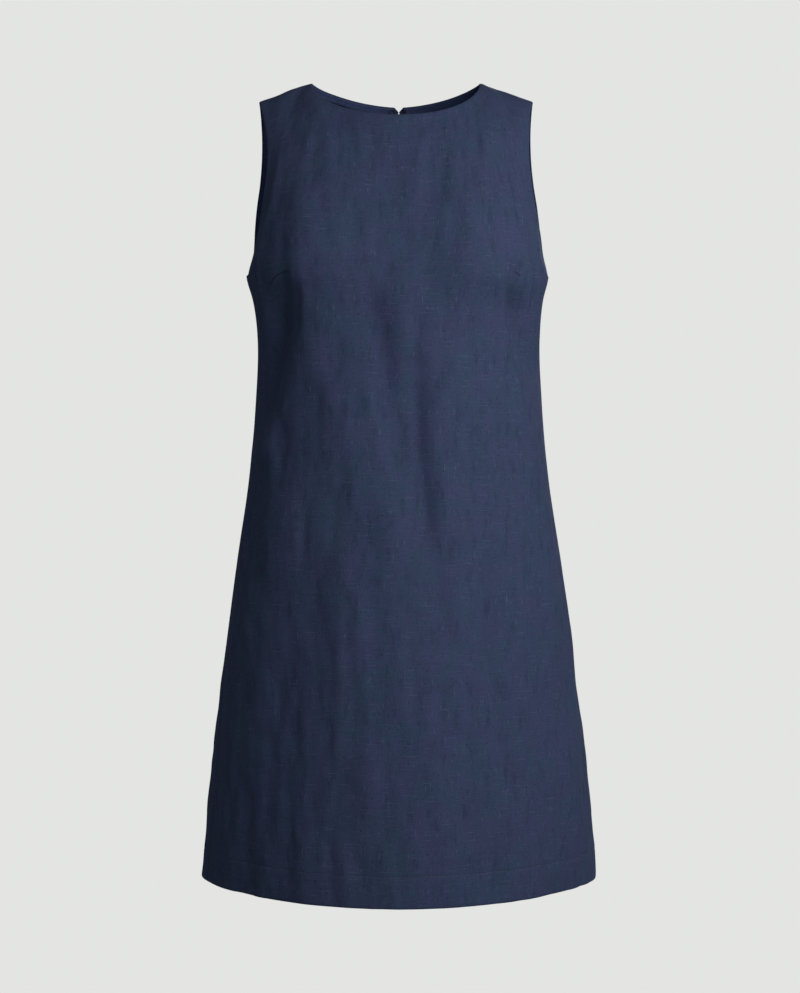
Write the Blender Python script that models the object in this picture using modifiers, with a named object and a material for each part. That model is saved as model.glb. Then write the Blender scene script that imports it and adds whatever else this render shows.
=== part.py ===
# Sleeveless a-line mini dress in woven cloth, worn and hollow, open at neck, armholes and hem.
#
# The frame: metres, +Z up, the front faces -Y, and the origin lies midway between the high points
# of the two shoulders. Each cloth panel is a surface of rows and columns. Rows follow the hem at the
# bottom and the neck and shoulders at the top; columns divide the girth between the cut edges.

import math

import bpy
import bmesh
import numpy as np
from mathutils import Matrix, Vector
from mathutils.bvhtree import BVHTree

MM = 0.001

# Driving sizes of the cut
DRESS_LENGTH = 0.873
UNDERARM_DROP = 0.216
NECK_HALF_WIDTH = 0.0923
SHOULDER_HALF_WIDTH = 0.151
SHOULDER_DROP = 0.021
FRONT_NECK_DROP = 0.047
BACK_NECK_DROP = 0.0155
SHOULDER_FALL = SHOULDER_DROP / (SHOULDER_HALF_WIDTH - NECK_HALF_WIDTH)
SHOULDER_ROLL = 0.100
ROLL_CURVE = 0.65
BACK_NECK_CURVE = 0.9
BODICE_LEAN = -0.003
LEAN_LOW = -0.33
LEAN_SPREAD = 0.45
NECK_BOW = 0.050
BOW_FADE = 0.030
LEVEL_ROWS_BELOW = -0.195

# Cloth, seams and what is sewn on
WALL = 0.0015
SEAM_PULL = 0.0006
CENTRE_GAP = 0.0003
LAY_GAP = 0.0005
HEM_DEPTH = 0.032
HEM_WALL = 0.0012
HEM_LIFT = 0.0008
BAND_END_PULL = 0.0030
STRIP_END_PULL = 0.0020
FACING_EDGE = 0.0006
FACING_WIDTH = 0.011
FACING_WALL = 0.0010
FACING_GAP = 0.0009
SIDE_SEAM_SWING = 0.18
SWING_LOW = -0.80
SWING_HIGH = -0.45

# Centre-back opening
NOTCH_HALF_WIDTH = 0.005
NOTCH_DEPTH = 0.0045
SLIT_HALF_WIDTH = 0.0011
SLIT_LOW = 0.033
SLIT_SIDE = 0.004
ZIP_LENGTH = 0.430
TAPE_TOP = -0.0225
TAPE_START = 0.0020
TAPE_WIDTH = 0.0140
TAPE_WALL = 0.0010
CHAIN_TOP = -0.0330
CHAIN_WIDTH = 0.0046
CHAIN_WALL = 0.0014

# Slider, pull tab, and the hook and eye at the neck
SLIDER_DROP = 0.0262
SLIDER_PLATE = (0.0070, 0.0024, 0.0090)
SLIDER_NECK = 0.0032
EAR_OUT = 0.0030
EAR_RADIUS = 0.0021
EAR_HOLE = 0.0010
EAR_WALL = 0.0009
EAR_SIDES = 14
TAB_LENGTH = 0.0220
TAB_BAR = 0.0008
TAB_NECK = 0.0020
TAB_NECK_LENGTH = 0.0040
TAB_CORNER = 0.0005
TAB_HALF_WIDTH = 0.0027
TAB_WINDOW = 0.00095
TAB_WINDOW_LOW = 0.0031
TAB_REST_GAP = 0.0010
TAB_REST_SHARE = 0.93
WIRE_RADIUS = 0.0004
EYE_SIDE = 0.0082
EYE_DROP = 0.0195
EYE_RADIUS = 0.0030
HOOK_RADIUS = 0.0022

NAVY = (0.036, 0.047, 0.092)
NAVY_INSIDE = (0.026, 0.034, 0.068)
NAVY_METAL = (0.020, 0.026, 0.050)

FRONT = -1
BACK = 1

# Plan sections of the whole dress at heights below the shoulder, in mm. A width is half the girth's
# breadth and a depth is from the side seam's plane to the centre. A fall of 1 is an ellipse; less
# makes the middle flatter, and more draws the sides to a soft edge.
SECTIONS = {
    "columns": ("z", "front_width", "back_width", "front_depth", "back_depth",
                "front_fall", "back_fall"),
    "rows": (
        (0, 185.0, 195.0, 64.0, 68.0, 0.95, 0.95),
        (-47, 174.0, 186.0, 71.0, 80.0, 0.92, 0.93),
        (-80, 167.0, 180.0, 80.0, 89.0, 0.90, 0.92),
        (-113, 163.4, 175.0, 90.0, 95.0, 0.88, 0.90),
        (-150, 161.8, 170.5, 100.0, 98.0, 0.85, 0.90),
        (-185, 162.5, 167.0, 107.0, 97.0, 0.82, 0.90),
        (-216, 164.2, 164.2, 111.0, 95.0, 0.80, 0.90),
        (-239, 158.8, 158.8, 112.0, 94.0, 0.84, 0.92),
        (-283, 155.0, 155.0, 113.0, 93.0, 0.92, 0.96),
        (-349, 157.0, 157.0, 117.0, 95.0, 1.00, 1.00),
        (-437, 164.6, 164.6, 125.0, 104.0, 1.10, 1.06),
        (-525, 177.6, 177.6, 134.0, 114.0, 1.20, 1.12),
        (-613, 189.2, 189.2, 144.0, 123.0, 1.28, 1.18),
        (-701, 199.8, 199.8, 155.0, 131.0, 1.35, 1.24),
        (-789, 209.1, 209.1, 166.0, 138.0, 1.40, 1.28),
        (-873, 216.4, 216.4, 177.0, 144.0, 1.44, 1.32),
    ),
}

# The armhole's cut edges seen from the front, in mm: how far out they lie on front and back
ARMHOLE = {
    "columns": ("z", "front_edge", "back_edge"),
    "rows": (
        (-21, 151.0, 151.0),
        (-35, 147.0, 150.4),
        (-51, 143.2, 150.3),
        (-76, 139.8, 151.4),
        (-103, 140.3, 154.0),
        (-130, 144.0, 157.6),
        (-159, 149.0, 160.0),
        (-178, 153.0, 160.8),
        (-197, 157.6, 162.2),
        (-208, 161.6, 163.2),
        (-216, 164.2, 164.2),
    ),
}

# Swells of the bodice, in mm: place on the front or back, reach each way and height
SWELLS = {
    "columns": ("side", "x", "z", "across", "above", "below", "height"),
    "rows": (
        (FRONT, -97, -204, 36, 62, 40, 17.0),
        (FRONT, 97, -204, 36, 62, 38, 17.0),
        (BACK, -78, -132, 44, 50, 62, 5.0),
        (BACK, 80, -134, 44, 52, 60, 5.0),
    ),
}

# Soft folds, in mm: a line down the cloth from its top to its foot, how wide it spreads to each
# side, and its height, where a negative height is a trough
FOLDS = {
    "columns": ("side", "top_x", "top_z", "foot_x", "foot_z", "spread", "height"),
    "rows": (
        (FRONT, -104, -236, -146, -378, 17, -10.0),
        (FRONT, 118, -236, 138, -336, 14, -8.0),
        (FRONT, 40, -232, 26, -330, 15, -3.0),
        (FRONT, 25, -310, 24, -478, 12, -4.5),
        (FRONT, -22, -236, 8, -318, 14, -3.0),
        (FRONT, -62, -250, -8, -440, 16, 3.5),
        (FRONT, -112, -318, -139, -430, 14, 4.5),
        (FRONT, 108, -300, 176, -650, 22, 5.5),
        (FRONT, -122, -440, -160, -650, 20, 3.5),
        (FRONT, -84, -560, -88, -700, 13, -3.5),
        (FRONT, -48, -510, -38, -680, 14, 3.5),
        (FRONT, 62, -520, 84, -800, 22, -3.0),
        (FRONT, -176, -600, -170, -880, 18, 6.0),
        (FRONT, 182, -690, 176, -880, 18, 6.0),
        (FRONT, -124, -780, -128, -900, 14, -4.5),
        (FRONT, 5, -800, 8, -900, 16, 3.5),
        (FRONT, -94, -84, -92, -130, 14, -2.5),
        (FRONT, 54, -74, 40, -150, 14, -3.0),
        (FRONT, 112, -70, 116, -135, 13, -2.0),
        (FRONT, -2, -86, -6, -150, 14, -2.5),
        (BACK, -112, -196, -132, -330, 18, -6.0),
        (BACK, 114, -204, 130, -318, 16, -5.5),
        (BACK, -66, -190, -84, -470, 22, 4.5),
        (BACK, 70, -210, 92, -520, 24, 4.0),
        (BACK, -22, -300, -30, -560, 18, -3.5),
        (BACK, 30, -330, 38, -640, 18, -3.5),
        (BACK, -102, -470, -136, -880, 24, 5.0),
        (BACK, 112, -500, 150, -880, 24, 5.5),
        (BACK, -62, -560, -74, -890, 22, -4.5),
        (BACK, 74, -620, 84, -890, 20, -4.0),
    ),
}

# Rows of a panel: steps up the skirt above the hem band, drawn closer together towards the bust, and
# steps from the underarm to the shoulder tip
SKIRT_STEPS = 19
SKIRT_CLOSING = 0.18
UNDERARM_STEP = 0.016
ARMHOLE_STEPS = 16

# Columns between a panel's centre and the shoulder's neck corner, and on to the cut edge
NECK_COLUMNS = 9
SHOULDER_COLUMNS = 10

# How a fold fades along its line: from its top to full height, and from there to nothing
FOLD_TOP = (-0.15, 0.25)
FOLD_FOOT = (0.70, 1.12)
FOLD_NARROW = 0.75
FOLD_WIDEN = 0.5
# Shares of a panel's half width where folds flatten into the side seam and the centre-back seam
FLAT_AT_SIDE = (0.84, 0.99)
FLAT_AT_CENTRE = 0.12


def smooth_step(low, high, value):
    share = np.clip((value - low) / (high - low), 0.0, 1.0)
    return share * share * (3.0 - 2.0 * share)


def follow(table, name, z):
    """A named column of a table at the heights z (metres), as a smooth curve through its rows."""
    index = table["columns"].index(name)
    rows = sorted(table["rows"])
    heights = np.array([row[0] for row in rows]) * MM
    values = np.array([row[index] for row in rows])
    slopes = np.gradient(values, heights)
    z = np.clip(z, heights[0], heights[-1])
    low = np.clip(np.searchsorted(heights, z, side="right") - 1, 0, len(heights) - 2)
    span = heights[low + 1] - heights[low]
    t = (z - heights[low]) / span
    start = values[low] * (1 + 2 * t) * (1 - t) ** 2 + slopes[low] * span * t * (1 - t) ** 2
    end = values[low + 1] * t * t * (3 - 2 * t) + slopes[low + 1] * span * t * t * (t - 1)
    return start + end


def section(side, name, z):
    """One measure of the front or back plan section, widths and depths in metres."""
    face = "front_" if side == FRONT else "back_"
    value = follow(SECTIONS, face + name, z)
    return value if name == "fall" else value * MM


def shoulder_line(x):
    return (NECK_HALF_WIDTH - np.abs(x)) * SHOULDER_FALL


def roll(drop):
    """How far the cloth has turned at a drop below the shoulder, from 0 at its seam to 1, upright."""
    left = np.clip(1.0 - drop / SHOULDER_ROLL, 0.0, 1.0)
    return (1.0 - left * left) ** ROLL_CURVE


def top_line(side, x):
    """Height of a panel's top edge: the neckline, then the shoulder seam."""
    inside = np.clip(1.0 - (x / NECK_HALF_WIDTH) ** 2, 0.0, 1.0)
    neck = -FRONT_NECK_DROP * inside ** 0.5
    if side == BACK:
        neck = -BACK_NECK_DROP * inside ** BACK_NECK_CURVE
        corner = np.clip(1.0 - np.abs(x) / NOTCH_HALF_WIDTH, 0.0, 1.0)
        neck = neck - NOTCH_DEPTH * corner
    return np.where(np.abs(x) < NECK_HALF_WIDTH, neck, shoulder_line(x))


def depth_at(side, x, z):
    """Distance of the plain surface from the plane of the side seams."""
    share = np.clip(np.abs(x) / section(side, "width", z), 0.0, 1.0)
    curve = (1.0 - share * share) ** (section(side, "fall", z) / 2.0)
    return side * section(side, "depth", z) * roll(shoulder_line(x) - z) * curve


def neck_share(side):
    """Share of the top row between the centre and the neck corner."""
    def reach(x, z):
        return math.asin(x / section(side, "width", z))
    return reach(NECK_HALF_WIDTH, 0.0) / reach(SHOULDER_HALF_WIDTH, -SHOULDER_DROP)


def half_shares(side):
    """Column places from the centre, 0, to the cut edge, 1."""
    corner = neck_share(side)
    start = 0.0
    places = [0.0]
    if side == BACK:
        start = corner * math.asin(NOTCH_HALF_WIDTH / NECK_HALF_WIDTH) * 2.0 / math.pi
    inner = np.linspace(start, corner, NECK_COLUMNS + 1)
    outer = np.linspace(corner, 1.0, SHOULDER_COLUMNS + 1)
    places.extend(inner[0 if start else 1:])
    places.extend(outer[1:])
    return np.array(places)


def top_x(side, shares):
    """Where the columns meet the top edge, closer together towards the neck corners."""
    corner = neck_share(side)
    reach = np.abs(shares)
    neck = NECK_HALF_WIDTH * np.sin(np.clip(reach / corner, 0.0, 1.0) * math.pi / 2.0)
    along = (reach - corner) / (1.0 - corner)
    shoulder = NECK_HALF_WIDTH + (SHOULDER_HALF_WIDTH - NECK_HALF_WIDTH) * along
    return np.sign(shares) * np.where(reach < corner, neck, shoulder)


def neck_bow(side, shares, drop):
    """How far the columns near a neck corner bow outwards, to leave the neckline squarely."""
    corner = neck_share(side)
    reach = np.abs(shares)
    near = np.where(reach < corner, (reach / corner) ** 3, (1.0 - reach) / (1.0 - corner))
    return NECK_BOW * near * roll(drop) * math.exp(-drop / BOW_FADE)


def skirt_heights():
    """Heights of the level rows from the hem up, with the hem band as the first step."""
    share = np.linspace(0.0, 1.0, SKIRT_STEPS)
    share = share + SKIRT_CLOSING * (share - share ** 4)
    low = -DRESS_LENGTH + HEM_DEPTH
    high = -UNDERARM_DROP - UNDERARM_STEP
    return [-DRESS_LENGTH, *(low + (high - low) * share)]


def armhole_heights():
    """Heights of the rows at the armhole's edge, closer together at the underarm and the shoulder."""
    turn = np.linspace(0.0, math.pi, ARMHOLE_STEPS + 1)
    middle = (UNDERARM_DROP + SHOULDER_DROP) / 2.0
    reach = (UNDERARM_DROP - SHOULDER_DROP) / 2.0
    return list(-middle - reach * np.cos(turn))


def skirt_row(side, shares, z):
    """A level row below the underarm, from centre to side seam each way."""
    swing = SIDE_SEAM_SWING * (1.0 - smooth_step(SWING_LOW, SWING_HIGH, z))
    stretch = 1.0 + np.sign(shares) * swing * (1.0 if side == FRONT else -1.0)
    turn = shares * stretch * math.pi / 2.0
    if side == BACK:
        turn = np.sign(shares) * math.pi - turn
        turn = np.where(shares == 0.0, math.pi, turn)
    ahead = np.abs(turn) <= math.pi / 2.0
    row = []
    for face in (FRONT, BACK):
        x = section(face, "width", z) * np.sin(turn)
        y = face * section(face, "depth", z) * np.abs(np.cos(turn)) ** section(face, "fall", z)
        row.append((x, y))
    x = np.where(ahead, row[0][0], row[1][0])
    y = np.where(ahead, row[0][1], row[1][1])
    return np.stack((x, y, np.full_like(x, z)), axis=1)


def armhole_row(side, shares, z):
    """A row between the two armhole edges, which rises to the neck and shoulders at the top."""
    edge = follow(ARMHOLE, "front_edge" if side == FRONT else "back_edge", z) * MM
    width = section(side, "width", z)
    turn = math.asin(min(1.0, edge / width))
    settle = smooth_step(LEVEL_ROWS_BELOW, -SHOULDER_DROP, z)
    end_x = top_x(side, shares)
    spread = np.sin(shares * turn) / math.sin(turn)
    x = edge * (spread * (1.0 - settle) + end_x / SHOULDER_HALF_WIDTH * settle)
    bow = neck_bow(side, shares, -SHOULDER_DROP - z)
    x += np.sign(shares) * bow
    height = z + settle * (top_line(side, end_x) + SHOULDER_DROP) - bow * SHOULDER_FALL
    return np.stack((x, depth_at(side, x, height), height), axis=1)


def grid_normals(grid, side):
    """Outward directions at the points of a grid."""
    down = np.gradient(grid, axis=0)
    across = np.gradient(grid, axis=1)
    normals = np.cross(across, down)
    normals /= np.linalg.norm(normals, axis=2, keepdims=True)
    facing = normals[:, :, 1] * side + normals[:, :, 2] * 0.3
    return normals * np.where(facing.mean() < 0.0, -1.0, 1.0)


def relief(side, shares, x, z):
    """Height of the swells and folds above the plain surface."""
    height = np.zeros_like(x)
    for face, at_x, at_z, across, above, below, lift in SWELLS["rows"]:
        if face != side:
            continue
        away_x = (x / MM - at_x) / across
        away_z = z / MM - at_z
        away_z = away_z / np.where(away_z > 0.0, above, below)
        height += lift * np.exp(-0.5 * (away_x ** 2 + away_z ** 2))
    for face, top, top_z, foot, foot_z, spread, lift in FOLDS["rows"]:
        if face != side:
            continue
        along = (top_z - z / MM) / (top_z - foot_z)
        line = top + (foot - top) * along
        reach = spread * (FOLD_NARROW + FOLD_WIDEN * np.clip(along, 0.0, 1.0))
        fade = smooth_step(*FOLD_TOP, along) * (1.0 - smooth_step(*FOLD_FOOT, along))
        height += lift * fade * np.exp(-0.5 * ((x / MM - line) / reach) ** 2)
    at_side = 1.0 - smooth_step(*FLAT_AT_SIDE, np.abs(shares))
    at_centre = 1.0
    if side == BACK:
        at_centre = smooth_step(0.0, FLAT_AT_CENTRE, np.abs(shares))
    return height * MM * at_side * at_centre


def pull_in(edge, inner, gap):
    """Draw edge points back by a gap, towards their neighbours."""
    step = inner - edge
    return edge + step / np.linalg.norm(step, axis=-1, keepdims=True) * gap


def panel_grid(side, shares):
    """Rows and columns of outer points of one panel, hem row first."""
    rows = [skirt_row(side, shares, z) for z in skirt_heights()]
    rows.extend(armhole_row(side, shares, z) for z in armhole_heights())
    grid = np.array(rows)
    height = relief(side, shares[None, :].repeat(len(rows), axis=0), grid[:, :, 0], grid[:, :, 2])
    grid = grid + grid_normals(grid, side) * height[:, :, None]
    away = smooth_step(0.0, LEAN_SPREAD, np.abs(shares))
    grid[:, :, 0] += BODICE_LEAN * away * smooth_step(LEAN_LOW, 0.0, grid[:, :, 2])
    seam = len(skirt_heights()) + 1
    for edge, inner in ((0, 1), (-1, -2)):
        if abs(shares[edge]) == 1.0:
            grid[:seam, edge] = pull_in(grid[:seam, edge], grid[:seam, inner], SEAM_PULL)
    on_shoulder = np.abs(shares) >= neck_share(side) - 1e-6
    grid[-1, on_shoulder] = pull_in(grid[-1, on_shoulder], grid[-2, on_shoulder], SEAM_PULL)
    return grid


def open_centre(grid, column, sense):
    """Part a back panel's centre edge from the other, wider where the slider stands."""
    z = grid[:, column, 2]
    slit = 1.0 - smooth_step(SLIT_LOW, SLIT_LOW + 0.004, -z)
    grid[:, column, 0] += sense * (CENTRE_GAP + (SLIT_HALF_WIDTH - CENTRE_GAP) * slit)
    return grid


def link(item, collection):
    collection.objects.link(item)
    return item


def finish_material(item, name, colour, roughness, metallic=0.0):
    material = bpy.data.materials.get(name)
    if material is None:
        material = bpy.data.materials.new(name)
        material.use_nodes = True
        shader = material.node_tree.nodes["Principled BSDF"]
        shader.inputs["Base Color"].default_value = (*colour, 1.0)
        shader.inputs["Roughness"].default_value = roughness
        shader.inputs["Metallic"].default_value = metallic
        material.diffuse_color = (*colour, 1.0)
    item.data.materials.append(material)


def surface_mesh(name, grid, side):
    """An open surface through a grid of points, its faces turned outwards."""
    rows, columns = grid.shape[:2]
    shell = bmesh.new()
    points = [[shell.verts.new(point) for point in row] for row in grid]
    for r in range(rows - 1):
        for c in range(columns - 1):
            corners = (points[r][c], points[r][c + 1], points[r + 1][c + 1], points[r + 1][c])
            shell.faces.new(corners if side == FRONT else corners[::-1])
    mesh = bpy.data.meshes.new(name)
    shell.to_mesh(mesh)
    shell.free()
    mesh.shade_smooth()
    return mesh


def cloth_object(name, mesh, wall, collection):
    item = link(bpy.data.objects.new(name, mesh), collection)
    thickness = item.modifiers.new("cloth", "SOLIDIFY")
    thickness.thickness = wall
    thickness.offset = -1.0
    thickness.use_even_offset = True
    return item


def inset_grid(grid, side, inset):
    return grid - grid_normals(grid, side) * inset


def add_panels(collection):
    """The front and the two halves of the back, and their grids of outer points."""
    half_front = half_shares(FRONT)
    half_back = half_shares(BACK)
    front_shares = np.concatenate((-half_front[:0:-1], half_front))
    grids = {
        "front_panel": (FRONT, panel_grid(FRONT, front_shares)),
        "back_panel_left": (BACK, open_centre(panel_grid(BACK, -half_back[::-1]), -1, -1)),
        "back_panel_right": (BACK, open_centre(panel_grid(BACK, half_back), 0, 1)),
    }
    for name, (side, grid) in grids.items():
        item = cloth_object(name, surface_mesh(name, grid, side), WALL, collection)
        finish_material(item, "navy_cloth_" + name, NAVY, 0.85)
    return grids


def add_hem_turns(grids, collection):
    """The hem's turned-up band inside each panel, from the panel's two lowest rows."""
    for panel, (side, grid) in grids.items():
        name = panel.replace("front_panel", "hem_turn_front").replace("back_panel", "hem_turn_back")
        band = inset_grid(grid, side, WALL + LAY_GAP)[:2]
        band[0, :, 2] += HEM_LIFT
        for edge, inner in ((0, 1), (-1, -2)):
            band[:, edge] = pull_in(band[:, edge], band[:, inner], BAND_END_PULL)
        item = cloth_object(name, surface_mesh(name, band, side), HEM_WALL, collection)
        finish_material(item, "navy_" + name, NAVY_INSIDE, 0.88)


def nearest_on(trees, point):
    """The nearest outer point of any panel, and the outward direction there."""
    hits = [tree.find_nearest(Vector(point)) for tree in trees]
    place, normal, _, _ = min(hits, key=lambda hit: hit[3])
    return np.array(place), np.array(normal)


def edge_strip(trees, edge, middle):
    """Outer points of a strip inside the cloth along a cut edge, with the hole's middle given."""
    tangents = np.gradient(edge, axis=0)
    rows = []
    for point, tangent in zip(edge, tangents):
        normal = nearest_on(trees, point)[1]
        inward = np.cross(tangent, normal)
        inward /= np.linalg.norm(inward)
        if np.dot(inward, point - middle) < 0.0:
            inward = -inward
        row = []
        for reach in (FACING_EDGE, FACING_WIDTH / 2.0, FACING_WIDTH):
            place, outward = nearest_on(trees, point + inward * reach)
            row.append(place - outward * (WALL + FACING_GAP))
        rows.append(row)
    strip = np.array(rows)
    strip[0] = pull_in(strip[0], strip[1], STRIP_END_PULL)
    strip[-1] = pull_in(strip[-1], strip[-2], STRIP_END_PULL)
    return strip


def add_strip(name, strip, collection):
    """Solidify an edge strip inwards, whichever way round its points run."""
    middle = len(strip) // 2
    normal = np.cross(strip[middle + 1, 0] - strip[middle, 0], strip[middle, 1] - strip[middle, 0])
    outward = strip[middle, 0] * (1.0, 1.0, 0.0)
    side = BACK if np.dot(normal, outward) > 0.0 else FRONT
    item = cloth_object(name, surface_mesh(name, strip, side), FACING_WALL, collection)
    finish_material(item, "navy_" + name, NAVY_INSIDE, 0.88)


def add_facings(grids, trees, collection):
    """Narrow strips inside the armholes and the neck."""
    seam = len(skirt_heights())
    front = grids["front_panel"][1]
    for name, edge, panel, far in (("left", 0, "back_panel_left", 0),
                                   ("right", -1, "back_panel_right", -1)):
        down = front[seam:-1, edge][::-1]
        up = grids[panel][1][seam:-1, far]
        under = (down[-1] + up[0]) / 2.0
        loop = np.concatenate((down[:-1], under[None, :], up[1:]))
        add_strip("armhole_facing_" + name, edge_strip(trees, loop, loop.mean(axis=0)), collection)
    skip = SHOULDER_COLUMNS + 2
    for name, line in (("front", front[-1, skip:-skip]),
                       ("back_left", grids["back_panel_left"][1][-1, skip:-2]),
                       ("back_right", grids["back_panel_right"][1][-1, 2:-skip])):
        middle = np.array((0.0, 0.0, line[:, 2].max() + NECK_HALF_WIDTH))
        add_strip("neck_facing_" + name, edge_strip(trees, line, middle), collection)


def on_back(trees, x, z):
    """The outer point of the back at a place seen from behind, and the outward direction there."""
    for tree in trees:
        place, normal, _, _ = tree.ray_cast(Vector((x, 1.0, z)), Vector((0.0, -1.0, 0.0)))
        if place is not None and place.y > 0.0:
            return np.array(place), np.array(normal)
    raise ValueError(f"no back panel at {x}, {z}")


def laid_inside(trees, columns, heights, inset):
    """A grid that lies a set distance inside the back panels."""
    rows = []
    for z in heights:
        row = []
        for x in columns:
            place, normal = on_back(trees, x, z)
            row.append(place - normal * inset)
        rows.append(row)
    return np.array(rows)


def zip_heights(grid, high, low):
    """Heights of a zip's rows: its ends, and the panel's own rows between them."""
    inside = [z for z in grid[:, 1, 2] if low + 0.005 < z < high - 0.005]
    return [low, *inside, high]


def add_zip_strips(grids, trees, collection):
    grid = grids["back_panel_right"][1]
    foot = TAPE_TOP - ZIP_LENGTH
    heights = zip_heights(grid, TAPE_TOP, foot)
    inset = WALL + LAY_GAP
    for name, inner, outer in (("zip_tape_left", -TAPE_WIDTH, -TAPE_START),
                               ("zip_tape_right", TAPE_START, TAPE_WIDTH)):
        mesh = surface_mesh(name, laid_inside(trees, (inner, outer), heights, inset), BACK)
        item = cloth_object(name, mesh, TAPE_WALL, collection)
        finish_material(item, "navy_" + name, NAVY_METAL, 0.8)
    heights = zip_heights(grid, CHAIN_TOP, foot + 0.006)
    columns = (-CHAIN_WIDTH / 2.0, CHAIN_WIDTH / 2.0)
    chain = laid_inside(trees, columns, heights, inset + TAPE_WALL + LAY_GAP)
    item = cloth_object("zip_chain", surface_mesh("zip_chain", chain, BACK), CHAIN_WALL, collection)
    finish_material(item, "navy_zip_chain", NAVY_METAL, 0.5)


def outline_plate(name, outlines, thickness):
    """A flat plate of closed outlines; those inside the first are holes."""
    curve = bpy.data.curves.new(name, "CURVE")
    curve.dimensions = "2D"
    curve.fill_mode = "BOTH"
    curve.extrude = thickness / 2.0
    for outline in outlines:
        spline = curve.splines.new("POLY")
        spline.points.add(len(outline) - 1)
        for point, (across, up) in zip(spline.points, outline):
            point.co = (across, up, 0.0, 1.0)
        spline.use_cyclic_u = True
    maker = bpy.data.objects.new(name, curve)
    bpy.context.scene.collection.objects.link(maker)
    shape = maker.evaluated_get(bpy.context.evaluated_depsgraph_get())
    mesh = bpy.data.meshes.new_from_object(shape)
    bpy.data.objects.remove(maker)
    solid = bmesh.new()
    solid.from_mesh(mesh)
    bmesh.ops.remove_doubles(solid, verts=solid.verts, dist=MM / 100.0)
    bmesh.ops.recalc_face_normals(solid, faces=solid.faces)
    solid.to_mesh(mesh)
    solid.free()
    mesh.name = name
    return mesh


def arc(centre, radius, start, end, count):
    """Points along an arc, angles in degrees from the first axis."""
    angles = np.radians(np.linspace(start, end, count))
    return [(centre[0] + radius * math.cos(a), centre[1] + radius * math.sin(a)) for a in angles]


def slider_frame(trees):
    """Where the slider stands on the back: across, out of the cloth and up along it."""
    place, normal = on_back(trees, SLIT_SIDE, -SLIDER_DROP)
    out = Vector((0.0, normal[1], normal[2])).normalized()
    across = Vector((1.0, 0.0, 0.0))
    up = across.cross(out)
    frame = Matrix((across, out, up)).transposed().to_4x4()
    frame.translation = Vector((0.0, place[1], place[2]))
    return frame


def add_slider(frame, collection, cutters):
    """The slider: a plate under the chain, and an ear that stands out through the slit."""
    depth = WALL + LAY_GAP + TAPE_WALL + LAY_GAP
    ear = [(-depth - SLIDER_PLATE[1] / 2.0, -SLIDER_NECK / 2.0)]
    start = math.degrees(math.asin(SLIDER_NECK / 2.0 / EAR_RADIUS))
    ear.extend(arc((EAR_OUT, 0.0), EAR_RADIUS, -180.0 + start, 180.0 - start, EAR_SIDES))
    ear.append((-depth - SLIDER_PLATE[1] / 2.0, SLIDER_NECK / 2.0))
    hole = arc((EAR_OUT, 0.0), EAR_HOLE, 0.0, 360.0 - 360.0 / EAR_SIDES, EAR_SIDES)
    mesh = outline_plate("slider_ear", (ear, hole), EAR_WALL)
    turn = Matrix(((0, 0, 1), (1, 0, 0), (0, 1, 0))).to_4x4()
    ear_item = link(bpy.data.objects.new("slider_ear", mesh), cutters)
    ear_item.matrix_world = frame @ turn
    ear_item.hide_render = True
    ear_item.display_type = "WIRE"
    plate = bmesh.new()
    bmesh.ops.create_cube(plate, size=1.0)
    bmesh.ops.scale(plate, vec=SLIDER_PLATE, verts=plate.verts)
    bmesh.ops.translate(plate, vec=(0.0, -depth - SLIDER_PLATE[1] / 2.0, 0.0), verts=plate.verts)
    mesh = bpy.data.meshes.new("zip_slider")
    plate.to_mesh(mesh)
    plate.free()
    item = link(bpy.data.objects.new("zip_slider", mesh), collection)
    item.matrix_world = frame
    join = item.modifiers.new("ear", "BOOLEAN")
    join.operation = "UNION"
    join.object = ear_item
    finish_material(item, "navy_zip_slider", NAVY_METAL, 0.35, 0.6)


def add_pull(frame, trees, collection):
    """The pull tab: a drop-shaped plate whose top bar passes through the slider's ear."""
    top = TAB_BAR / 2.0
    half = TAB_HALF_WIDTH
    swell = arc((0.0, -TAB_LENGTH + half), half, 200.0, 340.0, 9)
    outline = [(TAB_NECK, -TAB_NECK_LENGTH), (TAB_NECK, top - TAB_CORNER),
               (TAB_NECK - TAB_CORNER, top), (-TAB_NECK + TAB_CORNER, top),
               (-TAB_NECK, top - TAB_CORNER), (-TAB_NECK, -TAB_NECK_LENGTH)]
    outline += swell
    window = [(TAB_WINDOW, -top), (TAB_WINDOW, -TAB_WINDOW_LOW), (-TAB_WINDOW, -TAB_WINDOW_LOW),
              (-TAB_WINDOW, -top)]
    mesh = outline_plate("zip_pull", (outline, window), TAB_BAR)
    axis = frame @ Vector((0.0, EAR_OUT, 0.0))
    foot_out, foot_normal = on_back(trees, SLIT_SIDE, axis.z - TAB_LENGTH * TAB_REST_SHARE)
    rest = Vector(foot_out) + Vector(foot_normal) * (TAB_REST_GAP + TAB_BAR / 2.0)
    hang = Vector((0.0, rest.y - axis.y, rest.z - axis.z)).normalized()
    across = Vector((1.0, 0.0, 0.0))
    turn = Matrix((across, -hang, across.cross(-hang))).transposed().to_4x4()
    turn.translation = axis
    item = link(bpy.data.objects.new("zip_pull", mesh), collection)
    item.matrix_world = turn
    finish_material(item, "navy_zip_pull", NAVY_METAL, 0.35, 0.6)


def add_wire(name, points, collection):
    curve = bpy.data.curves.new(name, "CURVE")
    curve.dimensions = "3D"
    curve.bevel_depth = WIRE_RADIUS
    curve.bevel_resolution = 2
    curve.use_fill_caps = True
    spline = curve.splines.new("POLY")
    spline.points.add(len(points) - 1)
    for knot, point in zip(spline.points, points):
        knot.co = (*point, 1.0)
    item = link(bpy.data.objects.new(name, curve), collection)
    finish_material(item, "navy_" + name, NAVY_METAL, 0.4, 0.5)


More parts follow.
